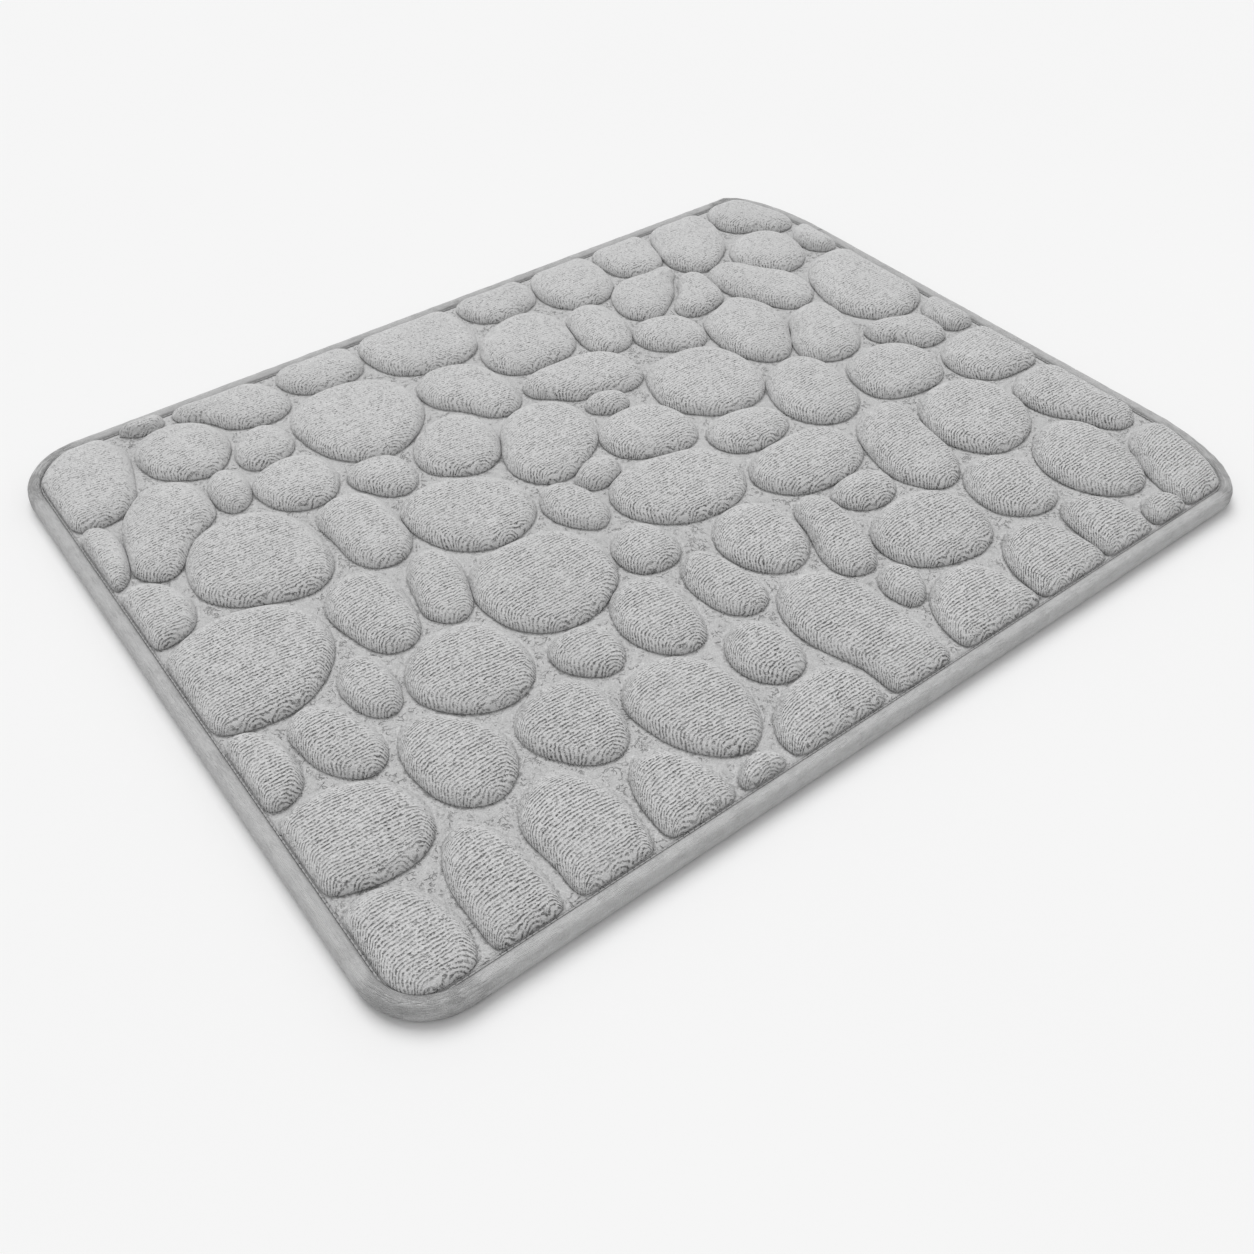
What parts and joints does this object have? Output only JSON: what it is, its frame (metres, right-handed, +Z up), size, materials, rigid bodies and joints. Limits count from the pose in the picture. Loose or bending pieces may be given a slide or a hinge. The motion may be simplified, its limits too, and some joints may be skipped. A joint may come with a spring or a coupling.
{
  "type": "bath mat",
  "caption": "Rectangular bath mat with a padded cobblestone fleece face over memory foam, a sewn edge binding and a dotted non-slip underside.",
  "frame": {"origin": "centre of the mat's footprint, on the floor", "axes": "+X along the long side, +Y along the short side towards the back edge, +Z up"},
  "size_m": [0.6, 0.47, 0.0185],
  "materials": {
    "fleece": "soft ridged pile",
    "foam": "open-cell foam",
    "backing": "plain weave",
    "dots": "matt",
    "binding": "smooth fine knit",
    "top_thread": "twisted polyester",
    "under_thread": "twisted polyester",
    "label": "satin tape"
  },
  "bodies": {
    "root": {"fleece_face": "fleece", "memory_foam_core": "foam", "backing_cloth": "backing", "grip_dots": "dots", "edge_binding": "binding", "needle_thread": "top_thread", "bobbin_thread": "under_thread", "care_label": "label"}
  },
  "joints": []
}
